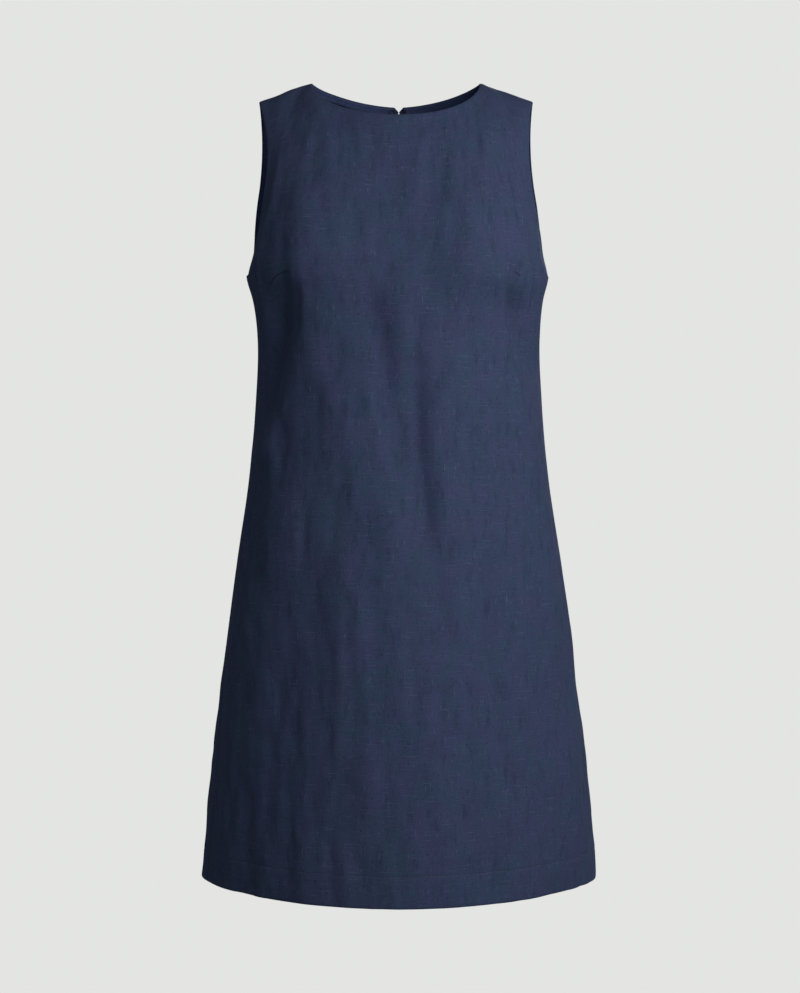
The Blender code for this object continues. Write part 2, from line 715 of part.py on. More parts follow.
def add_hook_and_eye(trees, collection):
    """A wire eye left of the notch and a hook right of it, on the inside of the back neck."""
    inset = WALL + LAY_GAP + TAPE_WALL + LAY_GAP + WIRE_RADIUS
    loops = (
        ("neck_eye", arc((-EYE_SIDE, -EYE_DROP), EYE_RADIUS, 215.0, 505.0, 15)),
        ("neck_hook", arc((EYE_SIDE, -EYE_DROP), HOOK_RADIUS, 25.0, 325.0, 15)),
    )
    for name, loop in loops:
        places = [on_back(trees, x, z) for x, z in loop]
        add_wire(name, [place - normal * inset for place, normal in places], collection)


def clear_scene():
    for item in list(bpy.data.objects):
        bpy.data.objects.remove(item, do_unlink=True)


def panel_trees(grids):
    """Search trees of the panels' outer surfaces."""
    trees = []
    for side, grid in grids.values():
        rows, columns = grid.shape[:2]
        faces = []
        for r in range(rows - 1):
            for c in range(columns - 1):
                a = r * columns + c
                quad = (a, a + 1, a + columns + 1, a + columns)
                faces.append(quad if side == FRONT else quad[::-1])
        trees.append(BVHTree.FromPolygons(grid.reshape(-1, 3).tolist(), faces, epsilon=MM / 100.0))
    return trees


def main():
    clear_scene()
    parts = bpy.data.collections.new("a_line_dress")
    cutters = bpy.data.collections.new("cutters")
    bpy.context.scene.collection.children.link(parts)
    bpy.context.scene.collection.children.link(cutters)
    grids = add_panels(parts)
    trees = panel_trees(grids)
    add_hem_turns(grids, parts)
    add_facings(grids, trees, parts)
    add_zip_strips(grids, trees, parts)
    frame = slider_frame(trees)
    add_slider(frame, parts, cutters)
    add_pull(frame, trees, parts)
    add_hook_and_eye(trees, parts)


main()
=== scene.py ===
# Sleeveless a-line dress in navy slub cloth, filled out as worn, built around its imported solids.
import math

import bmesh
import bpy
import numpy as np
from mathutils import Matrix, Vector
from mathutils.bvhtree import BVHTree


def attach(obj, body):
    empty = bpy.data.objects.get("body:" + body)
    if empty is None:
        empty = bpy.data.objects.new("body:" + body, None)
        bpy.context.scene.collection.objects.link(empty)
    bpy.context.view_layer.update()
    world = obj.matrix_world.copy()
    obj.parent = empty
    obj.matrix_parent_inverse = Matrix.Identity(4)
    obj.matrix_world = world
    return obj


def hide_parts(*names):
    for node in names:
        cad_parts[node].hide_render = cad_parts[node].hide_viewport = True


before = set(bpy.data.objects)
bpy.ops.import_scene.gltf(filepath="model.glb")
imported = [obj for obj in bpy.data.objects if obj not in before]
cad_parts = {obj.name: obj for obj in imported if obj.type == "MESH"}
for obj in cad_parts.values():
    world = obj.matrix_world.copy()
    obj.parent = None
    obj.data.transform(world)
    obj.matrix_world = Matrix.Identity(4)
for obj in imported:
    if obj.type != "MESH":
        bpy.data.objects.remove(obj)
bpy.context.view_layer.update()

mm = 0.001
front = -1
back = 1

# Sizes of the cut in metres: the solids' form, with a thinner wall and with closer seams
cut = {
    "length": 0.873, "underarm": 0.216, "hem": 0.032,
    "neckHalf": 0.0923, "shoulderHalf": 0.151, "shoulderDrop": 0.021,
    "frontNeck": 0.047, "backNeck": 0.0155, "backNeckCurve": 0.9,
    "roll": 0.100, "rollCurve": 0.65, "neckBow": 0.050, "bowFade": 0.030,
    "lean": -0.003, "leanLow": -0.33, "leanSpread": 0.45, "levelBelow": -0.195,
    "seamSwing": 0.18, "swingLow": -0.80, "swingHigh": -0.45,
    "notchHalf": 0.005, "notchDepth": 0.0045,
    "slitHalf": 0.0011, "slitHigh": 0.0195, "slitLow": 0.033, "slitSoft": 0.004,
    "wall": 0.0012, "seamPull": 0.00015, "pullFade": 0.006, "centreGap": 0.00015, "gapFade": 0.004,
    "rightEase": 0.0042, "easeTop": (-0.030, -0.070), "easeFoot": (-0.212, -0.165),
}

# Plan sections in mm: half widths, depths from the side seams' plane, and how the curve falls away
sections = {
    "columns": ("z", "frontWidth", "backWidth", "frontDepth", "backDepth", "frontFall", "backFall"),
    "rows": (
        (0, 185.0, 195.0, 64.0, 68.0, 0.95, 0.95),
        (-47, 174.0, 186.0, 71.0, 80.0, 0.92, 0.93),
        (-80, 167.0, 180.0, 80.0, 89.0, 0.90, 0.92),
        (-113, 163.4, 175.0, 90.0, 95.0, 0.88, 0.90),
        (-150, 161.8, 170.5, 100.0, 98.0, 0.85, 0.90),
        (-185, 162.5, 167.0, 107.0, 97.0, 0.82, 0.90),
        (-216, 164.2, 164.2, 111.0, 95.0, 0.80, 0.90),
        (-239, 158.8, 158.8, 112.0, 94.0, 0.84, 0.92),
        (-283, 155.0, 155.0, 113.0, 93.0, 0.92, 0.96),
        (-349, 157.0, 157.0, 117.0, 95.0, 1.00, 1.00),
        (-437, 164.6, 164.6, 125.0, 104.0, 1.10, 1.06),
        (-525, 177.6, 177.6, 134.0, 114.0, 1.20, 1.12),
        (-613, 189.2, 189.2, 144.0, 123.0, 1.28, 1.18),
        (-701, 199.8, 199.8, 155.0, 131.0, 1.35, 1.24),
        (-789, 209.1, 209.1, 166.0, 138.0, 1.40, 1.28),
        (-873, 216.4, 216.4, 177.0, 144.0, 1.44, 1.32),
    ),
}

# How far out the armhole's cut edges lie, in mm
armhole = {
    "columns": ("z", "frontEdge", "backEdge"),
    "rows": (
        (-21, 151.0, 151.0), (-35, 147.0, 150.4), (-51, 143.2, 150.3), (-76, 139.8, 151.4),
        (-103, 140.3, 154.0), (-130, 144.0, 157.6), (-159, 149.0, 160.0), (-178, 153.0, 160.8),
        (-197, 157.6, 162.2), (-208, 161.6, 163.2), (-216, 164.2, 164.2),
    ),
}

# Swells of the bodice, in mm: side, x, z, reach across, above and below, height
swells = (
    (front, -97, -204, 39, 64, 31, 16.0),
    (front, 97, -204, 36, 62, 31, 17.0),
    (back, -78, -132, 44, 50, 62, 5.0),
    (back, 80, -134, 44, 52, 60, 5.0),
)

# Broad folds, in mm: side, top x and z, foot x and z, spread to the left and right, height
folds = (
    (front, -119, -230, -150, -390, 13, 9, -14.0),
    (front, 113, -234, 136, -330, 4, 13, -9.5),
    (front, -97, -240, -112, -345, 8, 26, 3.0),
    (front, -29, -232, 9, -470, 18, 14, -9.0),
    (front, 17, -262, 22, -520, 13, 9, -5.6),
    (front, -128, -318, -152, -430, 10, 9, 3.0),
    (front, 108, -300, 176, -650, 22, 22, 3.4),
    (front, -122, -440, -160, -650, 20, 20, 3.5),
    (front, -88, -560, -90, -700, 12, 12, -1.0),
    (front, -46, -510, -38, -680, 20, 14, 3.3),
    (front, 62, -520, 84, -800, 22, 22, -3.0),
    (front, -176, -600, -170, -880, 18, 18, 3.5),
    (front, 182, -690, 176, -880, 18, 18, 6.0),
    (front, -156, -750, -159, -900, 12, 11, -3.8),
    (front, 5, -800, 8, -900, 16, 16, 1.8),
    (front, -94, -84, -92, -130, 14, 14, -2.5),
    (front, 54, -74, 40, -150, 14, 14, -3.0),
    (front, 112, -70, 116, -135, 13, 13, -2.0),
    (front, -2, -86, -6, -150, 14, 14, -2.5),
    (back, -112, -196, -132, -330, 16, 18, -8.0),
    (back, 114, -204, 130, -318, 16, 14, -7.5),
    (back, -66, -190, -84, -470, 20, 22, 6.0),
    (back, 70, -210, 92, -520, 24, 22, 5.5),
    (back, -22, -300, -30, -560, 16, 18, -5.5),
    (back, 30, -330, 38, -640, 18, 15, -5.5),
    (back, -102, -470, -136, -880, 22, 24, 6.5),
    (back, 112, -500, 150, -880, 24, 22, 7.0),
    (back, -62, -560, -74, -890, 20, 22, -6.0),
    (back, 74, -620, 84, -890, 20, 18, -5.5),
)

# Small creases pressed or worn into the cloth, in mm: side, top x and z, foot x and z, sideways bend
# at the middle, reach to the left and to the right, height
creases = (
    (front, -102, -226, -113, -296, 3, 8, 3.5, -3.0),
    (front, 112, -232, 131, -322, 3, 3.5, 8, -2.4),
    (front, -112, -217, -141, -276, -10, 1.0, 1.4, -0.9),
    (front, 120, -217, 130, -223, 0, 1.0, 1.2, -0.7),
    (front, -101, -480, -103, -552, 1, 3.0, 4.0, -0.8),
    (front, -112, -430, -108, -520, 2, 3, 4, 0.8),
    (front, -92, -560, -84, -640, -2, 3.0, 4.0, -0.8),
    (front, -86, -600, -87, -715, 2, 6, 4, -1.1),
    (front, -54, -545, -52, -690, 1, 3.0, 6, -1.0),
    (front, -42, -550, -36, -700, -1, 4.5, 6, 1.0),
    (front, -62, -380, -70, -520, 3, 4, 6, -1.1),
    (front, -33, -330, -8, -452, -3, 6, 4, 1.4),
    (front, 18, -330, 20, -430, 2, 3, 2.4, -1.3),
    (front, 25, -368, 34, -520, -3, 3, 5, -1.4),
    (front, 11, -352, 8, -478, 1, 4, 3, 0.8),
    (front, -4, -440, 14, -640, 4, 6, 6, -1.2),
    (front, 48, -420, 58, -620, 3, 7, 5, 1.0),
    (front, 84, -410, 92, -560, 0, 6, 8, -1.0),
    (front, 118, -330, 152, -520, 5, 5, 9, 1.6),
    (front, 136, -470, 160, -640, 2, 6, 6, -1.2),
    (front, 96, -600, 108, -790, 3, 7, 6, -1.1),
    (front, 128, -640, 126, -800, 3, 6, 7, 1.0),
    (front, 36, -610, 44, -800, -4, 6, 8, 0.9),
    (front, -20, -620, -14, -780, 2, 5, 5, -1.1),
    (front, -68, -690, -60, -800, 3, 4, 5, 1.0),
    (front, -110, -640, -106, -742, 2, 4, 4, -1.0),
    (front, -140, -560, -148, -700, -3, 5, 4, 1.2),
    (front, -128, -660, -136, -790, 2, 5, 5, -1.1),
    (front, -152, -740, -154, -860, 0, 4, 5, 1.2),
    (front, -106, -790, -98, -880, 1, 3.5, 4, 1.1),
    (front, -71, -800, -66, -884, -1, 4, 3.5, -1.4),
    (front, -57, -806, -52, -884, 0, 3.5, 4, 1.2),
    (front, -38, -820, -34, -884, 1, 3.5, 3.5, -1.0),
    (front, 0, -790, 5, -884, 0, 4, 3, -1.5),
    (front, 22, -812, 24, -884, 0, 4, 4, 0.9),
    (front, 64, -826, 66, -884, 0, 5, 4, -0.8),
    (front, 112, -822, 118, -884, 1, 5, 5, 0.8),
    (front, 146, -836, 150, -884, 0, 3.5, 4, -0.9),
    (front, -120, -70, -124, -140, 2, 5, 4, -1.1),
    (front, -50, -62, -46, -112, 1, 5, 5, -1.0),
    (front, -70, -96, -74, -180, 2, 6, 6, 0.9),
    (front, 14, -72, 22, -150, 2, 5, 6, 1.1),
    (front, 70, -90, 58, -170, -2, 6, 5, -0.9),
    (front, 92, -66, 98, -140, -2, 6, 6, 0.9),
    (front, 130, -120, 140, -206, 3, 4, 5, -1.6),
    (front, -128, -150, -136, -206, -2, 4, 4, -1.0),
    (front, -30, -130, -36, -196, 0, 6, 6, 0.7),
    (front, 6, -176, -10, -236, 0, 8, 8, -0.8),
    (back, -96, -240, -108, -340, -3, 4, 8, -2.0),
    (back, 98, -232, 112, -350, 3, 8, 4, -2.0),
    (back, -44, -250, -52, -400, 3, 5, 6, 1.2),
    (back, 46, -270, 50, -430, -3, 6, 5, -1.3),
    (back, -14, -360, -18, -470, 1, 3, 4, -1.2),
    (back, 16, -410, 22, -560, 1, 4, 3, 1.0),
    (back, -118, -380, -128, -560, -3, 5, 8, 1.5),
    (back, 124, -390, 138, -600, 4, 6, 6, -1.3),
    (back, -82, -520, -86, -640, 2, 3, 4, -1.3),
    (back, -36, -600, -34, -740, -2, 4, 5, 1.1),
    (back, 54, -560, 58, -700, 2, 3, 5, -1.4),
    (back, 96, -640, 104, -800, 3, 6, 5, 1.2),
    (back, -108, -680, -116, -820, 2, 5, 5, -1.2),
    (back, -150, -640, -158, -800, 0, 6, 5, 1.1),
    (back, 152, -700, 160, -850, 0, 5, 6, -1.1),
    (back, -92, -800, -94, -884, 1, 4, 4, 1.2),
    (back, -48, -806, -46, -884, 0, 4, 3.5, -1.3),
    (back, 12, -812, 14, -884, 0, 4, 4, 1.0),
    (back, 48, -800, 52, -884, 1, 3.5, 4, -1.2),
    (back, 118, -812, 124, -884, 0, 4, 5, 1.1),
    (back, -90, -60, -96, -130, -2, 6, 5, -1.2),
    (back, 92, -66, 98, -140, 2, 5, 6, -1.1),
    (back, -40, -70, -44, -150, 1, 6, 6, 0.9),
    (back, 44, -76, 40, -150, -1, 6, 6, 0.8),
    (back, -126, -110, -134, -190, -2, 4, 5, -1.3),
    (back, 128, -118, 136, -196, 2, 5, 4, -1.2),
)

# How folds and creases fade at their top and foot, in shares of their length, and how folds widen
fades = {
    "foldTop": (-0.15, 0.25), "foldFoot": (0.70, 1.12), "foldNarrow": 0.75, "foldWiden": 0.5,
    "creaseTop": (-0.05, 0.22), "creaseFoot": (0.72, 1.08),
}

# Uneven crinkle all over the cloth: cell width and height, and height of the relief, in mm
crinkles = (
    {"cell": (32.0, 95.0), "height": 1.75, "seed": 12},
    {"cell": (15.0, 44.0), "height": 1.20, "seed": 23},
    {"cell": (8.0, 20.0), "height": 0.48, "seed": 37},
    {"cell": (26.0, 15.0), "height": 0.44, "seed": 41},
)
backSeed = 100

# The panels' grid of points: columns in shares of the half width, rows in metres
panelGrid = {
    "innerColumns": 42, "outerColumns": 30, "edgeShares": (0.980, 0.989, 0.9945, 0.9978),
    "centreCloser": 0.7, "columnClear": 1.15,
    "rowStep": 0.0033, "edgeDrops": (0.0004, 0.0011, 0.0024, 0.0045),
    "stitchSteps": (-0.0024, -0.0012, -0.0005, 0.0, 0.0005, 0.0012, 0.0024),
    "stitchClear": 0.0035, "hemClear": 0.002, "shoulderClear": 0.001,
}

# Where the broad and the fine relief calm down near the seams, and the dips at edges and stitches
panelLook = {
    "broadEnd": (0.84, 0.99), "broadStart": 0.12,
    "fineEnd": (0.78, 0.98), "fineEndLoss": 0.93, "fineStart": 0.06, "fineStartShare": 0.35,
    "fineTopShare": 0.25, "fineTopReach": 0.020,
    "edgeDip": 0.0007, "edgeReach": 0.0010, "stitchDip": 0.00035, "stitchReach": 0.0009,
    "bevel": 0.0003, "bevelAngle": 60.0,
}

# Where the cloth lies on the shoulders outward is up too: from this height, by this lift in metres,
# and by this tilt in the mean over a whole panel
shoulders = {"above": -0.1, "lift": 0.06, "tilt": 0.3}


def smoothStep(low, high, value):
    share = np.clip((value - low) / (high - low), 0.0, 1.0)
    return share * share * (3.0 - 2.0 * share)


def follow(table, name, z):
    # a named column of a table at heights z in metres, as a smooth curve through its rows
    index = table["columns"].index(name)
    rows = sorted(table["rows"])
    heights = np.array([row[0] for row in rows]) * mm
    values = np.array([row[index] for row in rows])
    slopes = np.gradient(values, heights)
    z = np.clip(z, heights[0], heights[-1])
    low = np.clip(np.searchsorted(heights, z, side="right") - 1, 0, len(heights) - 2)
    span = heights[low + 1] - heights[low]
    t = (z - heights[low]) / span
    start = values[low] * (1 + 2 * t) * (1 - t) ** 2 + slopes[low] * span * t * (1 - t) ** 2
    end = values[low + 1] * t * t * (3 - 2 * t) + slopes[low + 1] * span * t * t * (t - 1)
    return start + end


def section(side, name, z):
    face = "front" if side == front else "back"
    value = follow(sections, face + name, z)
    return value if name == "Fall" else value * mm


def shoulderLine(x):
    fall = cut["shoulderDrop"] / (cut["shoulderHalf"] - cut["neckHalf"])
    return (cut["neckHalf"] - np.abs(x)) * fall


def roll(drop):
    left = np.clip(1.0 - drop / cut["roll"], 0.0, 1.0)
    return (1.0 - left * left) ** cut["rollCurve"]


def topLine(side, x):
    # the neckline, then the shoulder seam
    inside = np.clip(1.0 - (x / cut["neckHalf"]) ** 2, 0.0, 1.0)
    neck = -cut["frontNeck"] * inside ** 0.5
    if side == back:
        corner = np.clip(1.0 - np.abs(x) / cut["notchHalf"], 0.0, 1.0)
        neck = -cut["backNeck"] * inside ** cut["backNeckCurve"] - cut["notchDepth"] * corner
    return np.where(np.abs(x) < cut["neckHalf"], neck, shoulderLine(x))


def depthAt(side, x, z):
    share = np.clip(np.abs(x) / section(side, "Width", z), 0.0, 1.0)
    curve = (1.0 - share * share) ** (section(side, "Fall", z) / 2.0)
    return side * section(side, "Depth", z) * roll(shoulderLine(x) - z) * curve


def neckShare(side):
    neck = math.asin(cut["neckHalf"] / section(side, "Width", 0.0))
    tip = math.asin(cut["shoulderHalf"] / section(side, "Width", -cut["shoulderDrop"]))
    return neck / tip


def skirtRows(side, shares, z):
    # level rows below the underarm
    swing = cut["seamSwing"] * (1.0 - smoothStep(cut["swingLow"], cut["swingHigh"], z))
    stretch = 1.0 + np.sign(shares) * swing * (1.0 if side == front else -1.0)
    turn = shares * stretch * math.pi / 2.0
    if side == back:
        turn = np.where(shares == 0.0, math.pi, np.sign(shares) * math.pi - turn)
    ahead = np.abs(turn) <= math.pi / 2.0
    places = []
    for face in (front, back):
        x = section(face, "Width", z) * np.sin(turn)
        y = face * section(face, "Depth", z) * np.abs(np.cos(turn)) ** section(face, "Fall", z)
        places.append((x, y))
    x = np.where(ahead, places[0][0], places[1][0])
    y = np.where(ahead, places[0][1], places[1][1])
    return np.stack((x, y, z + 0.0 * x), axis=2)


def armholeRows(side, shares, z):
    # rows between the armhole's edges, which rise to the neck and the shoulders
    edge = follow(armhole, "frontEdge" if side == front else "backEdge", z) * mm
    if side == front:
        ease = smoothStep(*cut["easeTop"], z) * smoothStep(*cut["easeFoot"], z)
        edge = edge + np.where(shares > 0.0, cut["rightEase"], 0.0) * ease
    turn = np.arcsin(np.clip(edge / section(side, "Width", z), 0.0, 1.0))
    settle = smoothStep(cut["levelBelow"], -cut["shoulderDrop"], z)
    corner = neckShare(side)
    reach = np.abs(shares)
    along = np.clip(reach / corner, 0.0, 1.0)
    neck = cut["neckHalf"] * np.sin(along * math.pi / 2.0)
    shoulder = cut["shoulderHalf"] - cut["neckHalf"]
    shoulder = cut["neckHalf"] + shoulder * (reach - corner) / (1.0 - corner)
    endX = np.sign(shares) * np.where(reach < corner, neck, shoulder)
    spread = np.sin(shares * turn) / np.sin(turn)
    x = edge * (spread * (1.0 - settle) + endX / cut["shoulderHalf"] * settle)
    near = np.where(reach < corner, along ** 3, (1.0 - reach) / (1.0 - corner))
    drop = -cut["shoulderDrop"] - z
    bow = cut["neckBow"] * near * roll(drop) * np.exp(-drop / cut["bowFade"])
    x = x + np.sign(shares) * bow
    fall = cut["shoulderDrop"] / (cut["shoulderHalf"] - cut["neckHalf"])
    height = z + settle * (topLine(side, endX) + cut["shoulderDrop"]) - bow * fall
    return np.stack((x, depthAt(side, x, height), height), axis=2)


def crossNormals(points):
    return np.cross(np.gradient(points, axis=1), np.gradient(points, axis=0))


def unitNormals(points):
    normals = crossNormals(points)
    return normals / np.maximum(np.linalg.norm(normals, axis=2, keepdims=True), 1e-12)


def gridNormals(points, side):
    # unit normals of the front's or the back's cloth, away from the wearer
    normals = unitNormals(points)
    facing = normals[:, :, 1] * side + normals[:, :, 2] * shoulders["tilt"]
    return normals * np.where(facing.mean() < 0.0, -1.0, 1.0)


def upward(z):
    return shoulders["lift"] if z > shoulders["above"] else 0.0


def facesIn(points):
    # whether a grid of these points would face the wearer
    outward = points * (1.0, 1.0, 0.0) + (0.0, 0.0, upward(points[:, :, 2].mean()))
    return (crossNormals(points) * outward).sum() < 0.0


def softNoise(u, v, cell, seed):
    # smooth random relief between -1 and 1, with cells of the given width and height
    count, middle = 400, 150.0
    lattice = np.random.default_rng(seed).uniform(-1.0, 1.0, (count, count))
    a = u / cell[0] + middle
    b = v / cell[1] + middle
    lowA = np.floor(a).astype(int)
    lowB = np.floor(b).astype(int)
    s = a - lowA
    t = b - lowB
    s = s * s * (3.0 - 2.0 * s)
    t = t * t * (3.0 - 2.0 * t)
    top = lattice[lowA, lowB] * (1.0 - s) + lattice[lowA + 1, lowB] * s
    foot = lattice[lowA, lowB + 1] * (1.0 - s) + lattice[lowA + 1, lowB + 1] * s
    return top * (1.0 - t) + foot * t


def fadeAlong(kind, share):
    return smoothStep(*fades[kind + "Top"], share) * (1.0 - smoothStep(*fades[kind + "Foot"], share))


def broadRelief(side, x, z):
    # height of the swells and broad folds, in mm
    height = np.zeros_like(x)
    for face, atX, atZ, across, above, below, lift in swells:
        if face == side:
            awayZ = z / mm - atZ
            awayZ = awayZ / np.where(awayZ > 0.0, above, below)
            height += lift * np.exp(-0.5 * (((x / mm - atX) / across) ** 2 + awayZ ** 2))
    for face, top, topZ, foot, footZ, left, right, lift in folds:
        if face == side:
            along = (topZ - z / mm) / (topZ - footZ)
            away = x / mm - (top + (foot - top) * along)
            widen = fades["foldNarrow"] + fades["foldWiden"] * np.clip(along, 0.0, 1.0)
            reach = np.where(away < 0.0, left, right) * widen
            height += lift * fadeAlong("fold", along) * np.exp(-0.5 * (away / reach) ** 2)
    return height


def fineRelief(side, x, z, along):
    # height of the small creases and the crinkle, in mm
    height = np.zeros_like(x)
    for face, top, topZ, foot, footZ, bend, left, right, lift in creases:
        if face == side:
            share = (topZ - z / mm) / (topZ - footZ)
            line = top + (foot - top) * share + bend * np.sin(np.clip(share, 0.0, 1.0) * math.pi)
            away = x / mm - line
            reach = np.where(away < 0.0, left, right)
            height += lift * fadeAlong("crease", share) * np.exp(-0.5 * (away / reach) ** 2)
    for crinkle in crinkles:
        seed = crinkle["seed"] + (0 if side == front else backSeed)
        height += crinkle["height"] * softNoise(along / mm, z / mm, crinkle["cell"], seed)
    return height


def columnShares(side):
    # column places from the middle, 0, to the cut edge, 1, with a column at the neck corner
    corner = neckShare(side)
    edge = panelGrid["edgeShares"]
    inner = np.linspace(0.0, corner, panelGrid["innerColumns"] + 1)
    outer = np.linspace(corner, edge[0], panelGrid["outerColumns"] + 1)[1:]
    places = [*inner, *outer, *edge[1:], 1.0]
    if side == back:
        near = [(1.0 - share) * panelGrid["centreCloser"] for share in reversed(edge)]
        notch = corner * math.asin(cut["notchHalf"] / cut["neckHalf"]) * 2.0 / math.pi
        clear = max(near[-1], notch) * panelGrid["columnClear"]
        places = sorted({0.0, *near, notch, *[place for place in places if place > clear]})
    return np.array(places)


def rowHeights():
    # row heights at the cut edge from the hem up, closer at the hem, its stitching and the shoulder
    drops = panelGrid["edgeDrops"]
    hemLine = -cut["length"] + cut["hem"]
    stitch = [hemLine + step for step in panelGrid["stitchSteps"]]
    low = -cut["length"]
    high = -cut["shoulderDrop"]
    lowest = low + drops[-1] + panelGrid["hemClear"]
    highest = high - drops[-1] - panelGrid["shoulderClear"]
    plain = [z for z in np.arange(lowest, highest, panelGrid["rowStep"])
             if abs(z - hemLine) > panelGrid["stitchClear"]]
    edges = [low, *[low + drop for drop in drops], high, *[high - drop for drop in drops]]
    return np.array(sorted([*plain, *stitch, *edges]))


def edgeDistance(points, axis, last):
    # distance of each point from the first or last line of points, measured along the cloth
    line = points if axis == 1 else points.transpose(1, 0, 2)
    steps = np.linalg.norm(np.diff(line, axis=1), axis=2)
    total = np.concatenate((np.zeros((line.shape[0], 1)), np.cumsum(steps, axis=1)), axis=1)
    if last:
        total = total[:, -1:] - total
    return total if axis == 1 else total.T


def drawBack(points, axis, last, gap):
    # draw one cut edge back from its seam, towards the fourth line of points, and the cloth near it less
    away = edgeDistance(points, axis, last)[:, :, None]
    inner = points.take(-4 if last else 3, axis=axis)
    edge = points.take(-1 if last else 0, axis=axis)
    step = inner - edge
    step /= np.linalg.norm(step, axis=1, keepdims=True)
    return points + np.expand_dims(step, axis) * gap * np.exp(-away / cut["pullFade"])


def panelSurface(side, shares):
    # outer points of a panel, and their places on the flat cloth as the weave follows them
    rows = rowHeights()[:, None]
    level = rows[:, 0] < -cut["underarm"]
    points = np.concatenate((skirtRows(side, shares[None, :], rows[level]),
                             armholeRows(side, shares[None, :], rows[~level])))
    middle = int(np.argmin(np.abs(shares)))
    along = edgeDistance(points, 1, False)
    along = along - along[:, middle:middle + 1]
    up = edgeDistance(points[:, middle:middle + 1], 0, False)
    reach = np.abs(shares)[None, :]
    x, z = points[:, :, 0], points[:, :, 2]
    broad = broadRelief(side, x, z) * (1.0 - smoothStep(*panelLook["broadEnd"], reach))
    fine = fineRelief(side, x, z, along)
    fine = fine * (1.0 - panelLook["fineEndLoss"] * smoothStep(*panelLook["fineEnd"], reach))
    if side == back:
        share = panelLook["fineStartShare"]
        broad = broad * smoothStep(0.0, panelLook["broadStart"], reach)
        fine = fine * (share + (1.0 - share) * smoothStep(0.0, panelLook["fineStart"], reach))
    top = panelLook["fineTopShare"] + edgeDistance(points, 0, True) / panelLook["fineTopReach"]
    height = broad + fine * np.minimum(1.0, top)
    points = points + gridNormals(points, side) * height[:, :, None] * mm
    away = smoothStep(0.0, cut["leanSpread"], reach)
    points[:, :, 0] += cut["lean"] * away * smoothStep(cut["leanLow"], 0.0, points[:, :, 2])
    dip = np.zeros(points.shape[:2])
    for axis, last in ((0, False), (0, True), (1, False), (1, True)):
        away = edgeDistance(points, axis, last)
        dip = np.maximum(dip, np.exp(-(away / panelLook["edgeReach"]) ** 2))
    stitch = (edgeDistance(points, 0, False) - cut["hem"]) / panelLook["stitchReach"]
    dip = dip * panelLook["edgeDip"] + np.exp(-stitch ** 2) * panelLook["stitchDip"]
    points = points - gridNormals(points, side) * dip[:, :, None]
    points = drawBack(points, 0, True, cut["seamPull"])
    if side == front or shares[0] < -0.5:
        points = drawBack(points, 1, False, cut["seamPull"])
    if side == front or shares[-1] > 0.5:
        points = drawBack(points, 1, True, cut["seamPull"])
    flat = np.stack((along, up + 0.0 * along), axis=2)
    return points, flat


def deselectAll():
    for item in bpy.context.selected_objects:
        item.select_set(False)


def makeActive(piece):
    deselectAll()
    piece.select_set(True)
    bpy.context.view_layer.objects.active = piece


def addObject(name, data):
    piece = bpy.data.objects.new(name, data)
    bpy.context.scene.collection.objects.link(piece)
    return piece


def roundEdges(piece, width, angle):
    # a bevel on the edges that turn by more than the angle
    rounding = piece.modifiers.new("edge", "BEVEL")
    rounding.width = width
    rounding.segments = 2
    rounding.limit_method = "ANGLE"
    rounding.angle_limit = math.radians(angle)


def applyAll(piece):
    makeActive(piece)
    for modifier in list(piece.modifiers):
        bpy.ops.object.modifier_apply(modifier=modifier.name)


def addCloth(name, points, flat, wall, bevel=0.0, even=True):
    # a grid laid along the points, given a wall on its inner side and rounded cut edges
    if facesIn(points):
        points, flat = points[:, ::-1], flat[:, ::-1]
    rows, columns = points.shape[:2]
    deselectAll()
    bpy.ops.mesh.primitive_grid_add(x_subdivisions=columns - 1, y_subdivisions=rows - 1, size=1.0)
    piece = bpy.context.object
    piece.name = name
    piece.data.name = name
    mesh = piece.data
    mesh.vertices.foreach_set("co", np.ascontiguousarray(points, dtype=np.float32).reshape(-1))
    corners = np.zeros(len(mesh.loops), dtype=np.int32)
    mesh.loops.foreach_get("vertex_index", corners)
    places = flat.reshape(-1, 2)[corners].astype(np.float32)
    mesh.uv_layers[0].data.foreach_set("uv", places.reshape(-1))
    mesh.uv_layers[0].name = "cloth"
    mesh.update()
    solid = piece.modifiers.new("wall", "SOLIDIFY")
    solid.thickness = wall
    solid.offset = -1.0
    solid.use_even_offset = even
    if bevel:
        roundEdges(piece, bevel, panelLook["bevelAngle"])
    applyAll(piece)
    mesh.shade_smooth()
    return piece


# Node helpers

def mathNode(tree, operation, first, second):
    node = tree.nodes.new("ShaderNodeMath")
    node.operation = operation
    for socket, value in zip(node.inputs, (first, second)):
        if isinstance(value, (int, float)):
            socket.default_value = value
        else:
            tree.links.new(value, socket)
    return node.outputs[0]


def mixColours(tree, share, first, second):
    node = tree.nodes.new("ShaderNodeMix")
    node.data_type = "RGBA"
    for socket, value in ((node.inputs[0], share), (node.inputs[6], first), (node.inputs[7], second)):
        if isinstance(value, (int, float)):
            socket.default_value = value
        elif isinstance(value, tuple):
            socket.default_value = (*value, 1.0)
        else:
            tree.links.new(value, socket)
    return node.outputs[2]


def noiseOn(tree, vector, scale, detail=2.0, roughness=0.5):
    # noise with its own scale along and across, read from the given coordinates
    mapping = tree.nodes.new("ShaderNodeMapping")
    mapping.inputs["Scale"].default_value = scale
    tree.links.new(vector, mapping.inputs["Vector"])
    noise = tree.nodes.new("ShaderNodeTexNoise")
    noise.inputs["Scale"].default_value = 1.0
    noise.inputs["Detail"].default_value = detail
    noise.inputs["Roughness"].default_value = roughness
    tree.links.new(mapping.outputs["Vector"], noise.inputs["Vector"])
    return noise.outputs["Fac"]


